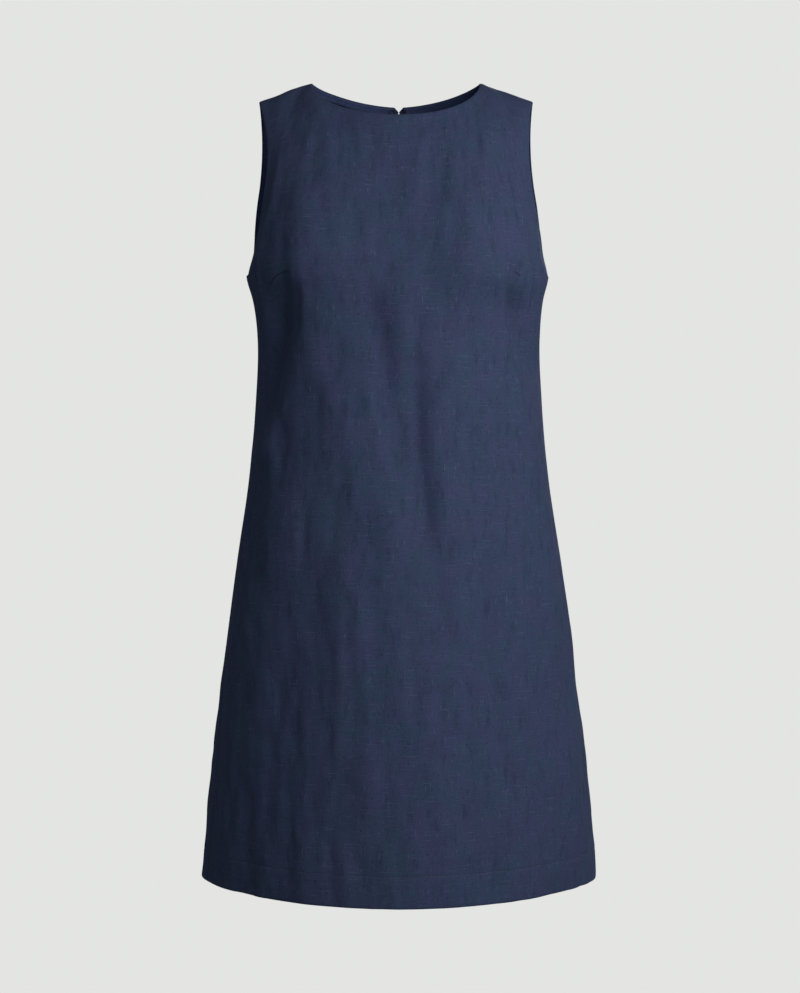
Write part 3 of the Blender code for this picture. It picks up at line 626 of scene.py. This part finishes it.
def ramp(tree, value, low, high):
    node = tree.nodes.new("ShaderNodeMapRange")
    node.interpolation_type = "SMOOTHSTEP"
    node.inputs["From Min"].default_value = low
    node.inputs["From Max"].default_value = high
    tree.links.new(value, node.inputs["Value"])
    return node.outputs["Result"]


def waveOn(tree, vector, direction, scale, waver=0.0, detail=2.0):
    # bands along one direction, 20 radians a metre at a scale of 1
    wave = tree.nodes.new("ShaderNodeTexWave")
    wave.bands_direction = direction
    wave.inputs["Scale"].default_value = scale
    wave.inputs["Distortion"].default_value = waver
    wave.inputs["Detail"].default_value = detail
    tree.links.new(vector, wave.inputs["Vector"])
    return wave.outputs["Fac"]


def clothPlaces(tree):
    # the flat cloth's own coordinates, in metres
    uv = tree.nodes.new("ShaderNodeUVMap")
    uv.uv_map = "cloth"
    return uv.outputs["UV"]


def newMaterial(name, look):
    material = bpy.data.materials.new(name)
    material.use_nodes = True
    tree = material.node_tree
    shader = tree.nodes["Principled BSDF"]
    for socket, value in look.items():
        shader.inputs[socket].default_value = value
    return material, tree, shader


def makeGrainMaterial(name, look, scale, shades, detail=2.0, marks=None):
    # two shades mixed by a fine noise over the piece, or by marks where the noise is high
    material, tree, shader = newMaterial(name, look)
    place = tree.nodes.new("ShaderNodeTexCoord").outputs["Object"]
    share = noiseOn(tree, place, (scale, scale, scale), detail)
    if marks:
        share = ramp(tree, share, *marks)
    tree.links.new(mixColours(tree, share, *shades), shader.inputs["Base Color"])
    return material


# The dress cloth: a navy linen blend in plain weave, its threads uneven both ways. Each noise has
# its coordinates, scale, detail and roughness; each layer its noise, where it starts and is full,
# its share and its shade
clothLook = {
    "shades": {"deep": (0.024, 0.035, 0.080), "plain": (0.051, 0.069, 0.150),
               "plum": (0.058, 0.067, 0.153), "teal": (0.045, 0.074, 0.143),
               "slub": (0.090, 0.115, 0.215)},
    # the inside pieces' shades are made brighter and bluer than the outside's: painted light, standing
    # for fill light reaching the inside
    "insidePaintedLight": (1.10, 1.16, 1.28),
    "thread": 0.0008, "threadWaver": 1.6, "threadDetail": 1.0,
    "noises": {
        "across": ("flat", (48.0, 850.0, 1.0), 3.0, 0.5),
        "down": ("flat", (850.0, 60.0, 1.0), 3.0, 0.5),
        "stroke": ("flat", (420.0, 85.0, 1.0), 2.0, 0.5),
        "speck": ("flat", (430.0, 430.0, 1.0), 2.0, 0.5),
        "streak": ("flat", (120.0, 34.0, 1.0), 3.0, 0.6),
        "patch": ("place", (75.0, 48.0, 60.0), 3.0, 0.6),
        "cloud": ("place", (30.0, 22.0, 24.0), 3.0, 0.6),
    },
    "clouds": (0.40, 0.60),
    "layers": (
        ("patch", 0.38, 0.66, 0.85, "plain"),
        ("streak", 0.48, 0.78, 0.56, "deep"),
        ("speck", 0.42, 0.26, 0.95, "deep"),
        ("weave", 0.75, 0.30, 0.30, "deep"),
        ("across", 0.58, 0.74, 0.70, "slub"),
        ("down", 0.60, 0.78, 0.70, "slub"),
        ("stroke", 0.62, 0.76, 0.70, "slub"),
    ),
    "bump": 0.40, "bumpDepth": 0.00025, "weaveBump": 0.5, "speckBump": 0.8,
    "surface": {"Roughness": 0.84, "Specular IOR Level": 0.20, "Sheen Weight": 0.05,
                "Sheen Roughness": 0.5, "Sheen Tint": (0.55, 0.62, 0.95, 1.0)},
}


def makeClothMaterial(name, look, paintedLight=(1.0, 1.0, 1.0)):
    material, tree, shader = newMaterial(name, look["surface"])
    shades = {key: tuple(part * share for part, share in zip(shade, paintedLight))
              for key, shade in look["shades"].items()}
    places = {"flat": clothPlaces(tree), "place": tree.nodes.new("ShaderNodeTexCoord").outputs["Object"]}
    values = {key: noiseOn(tree, places[on], scale, detail, roughness)
              for key, (on, scale, detail, roughness) in look["noises"].items()}
    threads = [waveOn(tree, places["flat"], direction, math.pi / 10.0 / look["thread"],
                      look["threadWaver"], look["threadDetail"]) for direction in ("X", "Y")]
    values["weave"] = mathNode(tree, "MAXIMUM", *threads)
    clouds = ramp(tree, values["cloud"], *look["clouds"])
    colour = mixColours(tree, clouds, shades["plum"], shades["teal"])
    for key, low, high, share, shade in look["layers"]:
        amount = mathNode(tree, "MULTIPLY", ramp(tree, values[key], low, high), share)
        colour = mixColours(tree, amount, colour, shades[shade])
    tree.links.new(colour, shader.inputs["Base Color"])
    relief = mathNode(tree, "ADD", mathNode(tree, "MULTIPLY", values["weave"], look["weaveBump"]),
                      mathNode(tree, "ADD", values["across"], values["down"]))
    specks = mathNode(tree, "MULTIPLY", values["speck"], look["speckBump"])
    bump = tree.nodes.new("ShaderNodeBump")
    bump.inputs["Strength"].default_value = look["bump"]
    bump.inputs["Distance"].default_value = look["bumpDepth"]
    tree.links.new(mathNode(tree, "ADD", relief, specks), bump.inputs["Height"])
    tree.links.new(bump.outputs["Normal"], shader.inputs["Normal"])
    return material


def wear(piece, material):
    piece.data.materials.clear()
    piece.data.materials.append(material)


# Panels

clothOutside = makeClothMaterial("navySlubCloth", clothLook)
# the facings, hem turns and seam allowances wear a brighter, bluer copy of the cloth: painted light on
# the inside
clothInside = makeClothMaterial("navySlubClothInside", clothLook, clothLook["insidePaintedLight"])

frontHalf = columnShares(front)
backHalf = columnShares(back)
surfaces = {
    "front_panel": (front, *panelSurface(front, np.concatenate((-frontHalf[:0:-1], frontHalf)))),
    "back_panel_left": (back, *panelSurface(back, -backHalf[::-1])),
    "back_panel_right": (back, *panelSurface(back, backHalf)),
}


def partCentre(points, column, sense):
    # the centre-back edges stand apart a little, and wider where the slider's ear comes through
    drop = -points[:, column, 2]
    slit = smoothStep(cut["slitHigh"], cut["slitHigh"] + cut["slitSoft"], drop)
    slit = slit - smoothStep(cut["slitLow"], cut["slitLow"] + cut["slitSoft"], drop)
    gap = cut["centreGap"] + (cut["slitHalf"] - cut["centreGap"]) * slit
    fade = np.exp(-edgeDistance(points, 1, column == -1) / cut["gapFade"])
    points[:, :, 0] += sense * fade * gap[:, None]


partCentre(surfaces["back_panel_left"][1], -1, -1)
partCentre(surfaces["back_panel_right"][1], 0, 1)

for node, (side, points, flat) in surfaces.items():
    piece = addCloth(node.replace("_panel", "Cloth"), points, flat, cut["wall"], panelLook["bevel"])
    wear(piece, clothOutside)
    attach(piece, "root")
    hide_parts(node)
print("panels laid", {name: surface[1].shape for name, surface in surfaces.items()})

# What lies on the inside of the panels: hem turns, seam allowances and facings

insideLook = {
    "seamInset": 0.0001, "seamWall": 0.0005, "seamReach": (0.0100, 0.0055, 0.0012),
    "sideTop": 0.001, "armFoot": 0.0005, "backTop": -0.452,
    "hemInset": 0.0008, "hemWall": 0.0006, "hemLift": 0.0007, "hemTop": 0.0001,
    "facingInset": 0.0003, "facingWall": 0.0006, "facingReach": (0.0005, 0.003, 0.006, 0.0085, 0.011),
    "loopStep": 0.003, "loopTrim": 3, "neckTrim": 4, "leastWidth": 0.0115,
}


def lieOn(name, points, inset, wall, node, normals=None):
    # a band of the inner cloth at a distance inside the given outer points
    if normals is None:
        normals = unitNormals(points) * (-1.0 if facesIn(points) else 1.0)
    band = points - normals * (cut["wall"] + inset)
    along = edgeDistance(band, 1, False)
    up = edgeDistance(band, 0, False)
    piece = addCloth(name, band, np.stack((along, up), axis=2), wall, even=False)
    wear(piece, clothInside)
    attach(piece, "root")
    if node:
        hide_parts(node)


def awayFrom(points, axis, last, distance):
    # points of the cloth at a distance from one of its cut edges
    lines = points if axis == 1 else points.transpose(1, 0, 2)
    away = edgeDistance(points, axis, last)
    away = away if axis == 1 else away.T
    if last:
        lines, away = lines[:, ::-1], away[:, ::-1]
    return np.array([[np.interp(distance, a, line[:, k]) for k in range(3)]
                     for a, line in zip(away, lines)])


frontPoints = surfaces["front_panel"][1]
leftPoints = surfaces["back_panel_left"][1]
rightPoints = surfaces["back_panel_right"][1]
rows = rowHeights()
sideRows = rows < -cut["underarm"] + insideLook["sideTop"]
armRows = rows > -cut["underarm"] - insideLook["armFoot"]
hemRows = rows < -cut["length"] + cut["hem"] + insideLook["hemTop"]
hemRows = hemRows & (rows > -cut["length"] + insideLook["hemLift"])
backRows = rows < insideLook["backTop"]
onShoulder = len(frontHalf) - panelGrid["innerColumns"]

for node, (side, points, flat) in surfaces.items():
    hemNode = node.replace("front_panel", "hem_turn_front").replace("back_panel", "hem_turn_back")
    lieOn(hemNode + "Cloth", points[hemRows], insideLook["hemInset"], insideLook["hemWall"], hemNode)

reach = insideLook["seamReach"]
seams = {
    "sideSeamLeft": [(frontPoints[sideRows], 1, False), (leftPoints[sideRows], 1, False)],
    "sideSeamRight": [(frontPoints[sideRows], 1, True), (rightPoints[sideRows], 1, True)],
    "shoulderSeamLeft": [(frontPoints[:, :onShoulder], 0, True), (leftPoints[:, :onShoulder], 0, True)],
    "shoulderSeamRight": [(frontPoints[:, -onShoulder:], 0, True),
                          (rightPoints[:, -onShoulder:], 0, True)],
    "centreBackSeam": [(leftPoints[backRows], 1, True), (rightPoints[backRows], 1, False)],
}
for name, ((one, axis, last), (other, otherAxis, otherLast)) in seams.items():
    lines = [awayFrom(one, axis, last, step) for step in reach]
    lines += [awayFrom(other, otherAxis, otherLast, step) for step in reversed(reach)]
    lieOn(name, np.stack(lines, axis=1), insideLook["seamInset"], insideLook["seamWall"], None)

trees = []
for side, points, flat in surfaces.values():
    count = points.shape[1]
    corners = np.arange(points.shape[0] * count).reshape(points.shape[:2])
    quads = np.stack((corners[:-1, :-1], corners[:-1, 1:], corners[1:, 1:], corners[1:, :-1]), axis=2)
    trees.append(BVHTree.FromPolygons(points.reshape(-1, 3).tolist(), quads.reshape(-1, 4).tolist()))


def nearestOn(point):
    # the nearest point of the cloth, and the direction away from the wearer there
    hits = [tree.find_nearest(Vector(point)) for tree in trees]
    place, normal, index, away = min(hits, key=lambda hit: hit[3])
    outward = Vector((place.x, place.y, upward(place.z)))
    return np.array(place), np.array(normal if normal.dot(outward) > 0.0 else -normal)


def evenLoop(points, step):
    # points at an even step along a line
    length = np.concatenate(([0.0], np.cumsum(np.linalg.norm(np.diff(points, axis=0), axis=1))))
    places = np.linspace(0.0, length[-1], int(length[-1] / step) + 1)
    return np.stack([np.interp(places, length, points[:, k]) for k in range(3)], axis=1)


def edgeStrip(edge, middle, reaches):
    # outer points of the cloth beside a cut edge, with the hole's middle given, and their normals
    lines = []
    for point, tangent in zip(edge, np.gradient(edge, axis=0)):
        inward = np.cross(tangent, nearestOn(point)[1])
        inward /= np.linalg.norm(inward)
        if np.dot(inward, point - middle) < 0.0:
            inward = -inward
        lines.append([nearestOn(point + inward * step) for step in reaches])
    lines = np.array(lines)
    return lines[:, :, 0], lines[:, :, 1]


loops = {}
trim = insideLook["loopTrim"]
for name, column, other in (("left", 0, leftPoints), ("right", -1, rightPoints)):
    down = frontPoints[armRows][::-1, column]
    up = other[armRows][:, column]
    loop = evenLoop(np.concatenate((down[trim:], up[:-trim])), insideLook["loopStep"])
    loops["armhole_facing_" + name] = (loop, loop.mean(axis=0))
trim = insideLook["neckTrim"]
neckLines = (("front", frontPoints[-1, onShoulder + 1:-onShoulder - 1]),
             ("back_left", leftPoints[-1, onShoulder + 1:-trim]),
             ("back_right", rightPoints[-1, trim:-onShoulder - 1]))
for name, line in neckLines:
    middle = np.array((0.0, 0.0, line[:, 2].max() + cut["neckHalf"]))
    loops["neck_facing_" + name] = (evenLoop(line, insideLook["loopStep"]), middle)

strips = {}
for node, (loop, middle) in loops.items():
    strips[node] = edgeStrip(loop, middle, insideLook["facingReach"])
    strip, normals = strips[node]
    lieOn(node + "Cloth", strip, insideLook["facingInset"], insideLook["facingWall"], node, normals)
print("inside pieces laid", list(strips))

# Sewing: each stitch is a short thread laid on the cloth

stitchLook = {
    "radius": 0.00022, "hemStep": 0.0031, "hemLength": 0.0019, "hemRaise": 0.00005, "fineStep": 0.0002,
    "tickRadius": 0.00020, "taperEnd": 0.25,
    "grain": 700.0, "shades": ((0.050, 0.062, 0.115), (0.150, 0.170, 0.250)),
    "surface": {"Roughness": 0.6, "Sheen Weight": 0.1},
}
thread = makeGrainMaterial("navyThread", stitchLook["surface"], stitchLook["grain"], stitchLook["shades"])


def addThreads(name, stitches, radius, material=thread, taper=False):
    curve = bpy.data.curves.new(name, "CURVE")
    curve.dimensions = "3D"
    curve.bevel_depth = radius
    curve.bevel_resolution = 1
    curve.use_fill_caps = True
    for stitch in stitches:
        spline = curve.splines.new("POLY")
        spline.points.add(len(stitch) - 1)
        for place, (knot, point) in enumerate(zip(spline.points, stitch)):
            knot.co = (*point, 1.0)
            if taper:
                end = stitchLook["taperEnd"]
                knot.radius = end + (1.0 - end) * math.sin(math.pi * place / (len(stitch) - 1)) ** 0.5
    makeActive(addObject(name, curve))
    bpy.ops.object.convert(target="MESH")
    piece = bpy.context.object
    piece.data.shade_smooth()
    wear(piece, material)
    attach(piece, "root")


line = int(np.argmin(np.abs(rows + cut["length"] - cut["hem"])))
step = int(round(stitchLook["hemStep"] / stitchLook["fineStep"]))
length = int(round(stitchLook["hemLength"] / stitchLook["fineStep"]))
for node, (side, points, flat) in surfaces.items():
    raised = points[line] + gridNormals(points, side)[line] * stitchLook["hemRaise"]
    seam = evenLoop(raised, stitchLook["fineStep"])
    stitches = [(seam[start], seam[start + length // 2], seam[start + length])
                for start in range(step, len(seam) - step, step)]
    addThreads("hemStitches_" + node, stitches, stitchLook["radius"])

depth = cut["wall"] + insideLook["facingInset"] + insideLook["facingWall"]
for node, (strip, normals) in strips.items():
    if "armhole" in node:
        under = strip - normals * depth
        stitches = [(under[place, -1], under[place + 1, -2]) for place in range(1, len(under) - 2)]
        addThreads("facingStitches_" + node, stitches, stitchLook["tickRadius"])
print("stitches sewn")

# The zip: tapes, two rows of teeth, and the slider, pull tab, hook and eye

zipLook = {
    "top": -0.0225, "length": 0.430, "tapeClear": 0.002, "tapeReach": (0.0004, 0.005, 0.0142),
    "tapeInset": 0.0004, "tapeWall": 0.0006, "tapeShare": 0.98, "ribs": 45.0,
    "tapeShades": ((0.016, 0.020, 0.040), (0.030, 0.036, 0.065)),
    "tapeSurface": {"Roughness": 0.75, "Sheen Weight": 0.1},
}
foot = zipLook["top"] - zipLook["length"]
tape, tapeTree, tapeShader = newMaterial("zipTape", zipLook["tapeSurface"])
ribs = waveOn(tapeTree, clothPlaces(tapeTree), "Y", zipLook["ribs"])
tapeTree.links.new(mixColours(tapeTree, ribs, *zipLook["tapeShades"]), tapeShader.inputs["Base Color"])

for name, points, last in (("zip_tape_left", leftPoints, True), ("zip_tape_right", rightPoints, False)):
    part = points[(rows > foot) & (rows < zipLook["top"] - zipLook["tapeClear"])]
    lines = [awayFrom(part, 1, last, step) for step in zipLook["tapeReach"]]
    band = np.stack(lines, axis=1)
    normals = gridNormals(band, back)
    along = edgeDistance(band, 1, False)
    up = edgeDistance(band, 0, False)
    inside = band - normals * (cut["wall"] + zipLook["tapeInset"])
    piece = addCloth(name + "Cloth", inside, np.stack((along, up), axis=2), zipLook["tapeWall"],
                     even=False)
    wear(piece, tape)
    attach(piece, "root")
    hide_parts(name)

toothLook = {
    "top": -0.0345, "clear": 0.006, "step": 0.0007, "size": (0.0026, 0.0012, 0.0008),
    "across": 0.0009, "lieAt": 0.0022, "edge": 0.00022, "edgeAngle": 30.0,
    "grain": 900.0, "shades": ((0.018, 0.023, 0.045), (0.028, 0.034, 0.060)),
    "surface": {"Roughness": 0.38},
}
teeth = makeGrainMaterial("zipTeeth", toothLook["surface"], toothLook["grain"], toothLook["shades"])


def seenOn(tree, side, x, z):
    # the outer point of the cloth at a place seen from the front or from behind, and its normal
    place, normal, index, away = tree.ray_cast(Vector((x, side, z)), Vector((0.0, -side, 0.0)))
    return place, normal if normal.y * side > 0.0 else -normal


toothShape = bmesh.new()
z = toothLook["top"]
turn = 1
depth = cut["wall"] + zipLook["tapeInset"] + zipLook["tapeWall"] + toothLook["size"][1] / 2.0
while z > foot + toothLook["clear"]:
    place, normal = seenOn(trees[2], back, toothLook["lieAt"], z)
    normal = Vector((0.0, normal.y, normal.z)).normalized()
    centre = Vector((turn * toothLook["across"], place.y, z)) - normal * depth
    across = Vector((1.0, 0.0, 0.0))
    matrix = Matrix((across, normal, across.cross(normal))).transposed().to_4x4()
    matrix.translation = centre
    matrix = matrix @ Matrix.Diagonal((*toothLook["size"], 1.0))
    bmesh.ops.create_cube(toothShape, size=1.0, matrix=matrix)
    z -= toothLook["step"]
    turn = -turn
mesh = bpy.data.meshes.new("zipChain")
toothShape.to_mesh(mesh)
toothShape.free()
chain = addObject("zipChain", mesh)
roundEdges(chain, toothLook["edge"], toothLook["edgeAngle"])
applyAll(chain)
wear(chain, teeth)
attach(chain, "root")
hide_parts("zip_chain")

metalLook = {
    "grain": 420.0, "detail": 4.0, "marks": (0.45, 0.75), "weld": 0.00001, "edgeAngle": 40.0,
    "shades": ((0.020, 0.025, 0.045), (0.045, 0.052, 0.080)),
    "surface": {"Roughness": 0.32, "Metallic": 0.0, "Coat Weight": 0.4, "Coat Roughness": 0.2},
}
metal = makeGrainMaterial("zipPaint", metalLook["surface"], metalLook["grain"], metalLook["shades"],
                          metalLook["detail"], metalLook["marks"])

hardware = {
    "zip_slider": {"body": "root", "slot": "zip_metal", "edge": 0.00022},
    "zip_pull": {"body": "pull_tab", "slot": "zip_metal", "edge": 0.00018},
    "neck_eye": {"body": "root", "slot": "wire", "edge": 0.0},
    "neck_hook": {"body": "root", "slot": "wire", "edge": 0.0},
}
for node, look in hardware.items():
    piece = addObject(node + "Finish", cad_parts[node].data.copy())
    makeActive(piece)
    bpy.ops.object.mode_set(mode="EDIT")
    bpy.ops.mesh.select_all(action="SELECT")
    bpy.ops.mesh.remove_doubles(threshold=metalLook["weld"])
    bpy.ops.object.mode_set(mode="OBJECT")
    if look["edge"]:
        roundEdges(piece, look["edge"], metalLook["edgeAngle"])
        applyAll(piece)
    piece.data.shade_smooth()
    wear(piece, metal)
    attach(piece, look["body"])
    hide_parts(node)
print("zip and fastening placed")

# The bust darts: a fine line on each side of the bust, a thin tube coloured far darker than the cloth as
# painted shade of the dart's groove

dartLook = {
    "lines": (
        ((-113, -218.4), (-119, -218.2), (-125, -219.6), (-130, -222.4), (-134.5, -227.0), (-137, -232)),
        ((122, -217.8), (125.5, -219.6), (129, -222.2)),
    ),
    "step": 0.0012, "radius": 0.00042, "raise": 0.00018,
    # the tube's two shades, about a third of the cloth's, are painted shade of the groove
    "grain": 500.0, "shades": ((0.010, 0.014, 0.030), (0.020, 0.026, 0.052)),
    "surface": {"Roughness": 0.9},
}
dartShade = makeGrainMaterial("dartGrooveShade", dartLook["surface"], dartLook["grain"], dartLook["shades"])
for side, line in zip(("Left", "Right"), dartLook["lines"]):
    knots = []
    for x, y, z in evenLoop(np.array([(x * mm, 0.0, z * mm) for x, z in line]), dartLook["step"]):
        place, normal = seenOn(trees[0], front, x, z)
        knots.append(place + normal * dartLook["raise"])
    addThreads("bustDart" + side, [knots], dartLook["radius"], dartShade, taper=True)
print("darts pressed")

# Camera, at the photograph's angle and framing

cameraLook = {"at": (0.0014, -2.2, -0.455), "lens": 72.5, "sensor": 36.0}
camera = addObject("camera", bpy.data.cameras.new("camera"))
camera.data.lens = cameraLook["lens"]
camera.data.sensor_width = cameraLook["sensor"]
camera.location = cameraLook["at"]
camera.rotation_euler = (math.radians(90.0), 0.0, 0.0)
bpy.context.scene.camera = camera

# Light: a soft key at the front right, weaker ones from the front and both sides, and one for the back

lightLook = {
    "key": {"at": (0.64, -1.02, -0.03), "size": 0.8, "power": 8.3, "colour": (1.0, 1.0, 0.96)},
    "front": {"at": (-0.30, -2.20, 0.10), "size": 1.6, "power": 2.0, "colour": (0.90, 0.96, 1.0)},
    "left": {"at": (-2.2, -0.2, -0.20), "size": 1.6, "power": 0.7, "colour": (0.75, 0.88, 1.0)},
    "right": {"at": (1.95, -0.05, -0.25), "size": 1.6, "power": 4.4, "colour": (0.82, 0.93, 1.0)},
    "rear": {"at": (0.45, 1.60, 0.45), "size": 0.8, "power": 14.0, "colour": (1.0, 1.0, 0.97)},
}
skyLook = {"colour": (0.88, 0.97, 1.0), "strength": 0.105}
aim = Vector((0.0, 0.0, -0.42))
for name, look in lightLook.items():
    lamp = bpy.data.lights.new(name, "AREA")
    lamp.shape = "DISK"
    lamp.size = look["size"]
    lamp.energy = look["power"]
    lamp.color = look["colour"]
    lampObject = addObject(name, lamp)
    lampObject.location = look["at"]
    lampObject.rotation_euler = (aim - Vector(look["at"])).to_track_quat("-Z", "Y").to_euler()

world = bpy.data.worlds.new("studio")
world.use_nodes = True
sky = world.node_tree.nodes["Background"]
sky.inputs["Color"].default_value = (*skyLook["colour"], 1.0)
sky.inputs["Strength"].default_value = skyLook["strength"]
bpy.context.scene.world = world
bpy.context.scene.view_settings.view_transform = "Standard"

# A pale studio: floor and dome of one even tone, seen by the camera only

stageLook = {"tone": (0.775, 0.783, 0.768), "floor": -1.38, "radius": 8.0, "floorSides": 96,
             "domeRadius": 8.08, "domeSegments": 48, "domeRings": 24}
pale, paleTree = newMaterial("paleStudio", {"Roughness": 1.0})[:2]
glow = paleTree.nodes.new("ShaderNodeEmission")
glow.inputs["Color"].default_value = (*stageLook["tone"], 1.0)
paleTree.links.new(glow.outputs[0], paleTree.nodes["Material Output"].inputs["Surface"])
deselectAll()
bpy.ops.mesh.primitive_circle_add(vertices=stageLook["floorSides"], radius=stageLook["radius"],
                                  fill_type="NGON", location=(0.0, 0.0, stageLook["floor"]))
floor = bpy.context.object
floor.name = "floor"
deselectAll()
bpy.ops.mesh.primitive_uv_sphere_add(segments=stageLook["domeSegments"],
                                     ring_count=stageLook["domeRings"], radius=stageLook["domeRadius"])
dome = bpy.context.object
dome.name = "dome"
for item in (floor, dome):
    item.data.materials.append(pale)
    item.visible_diffuse = False
    item.visible_glossy = False
    item.visible_transmission = False
    item.visible_shadow = False
print("studio set")
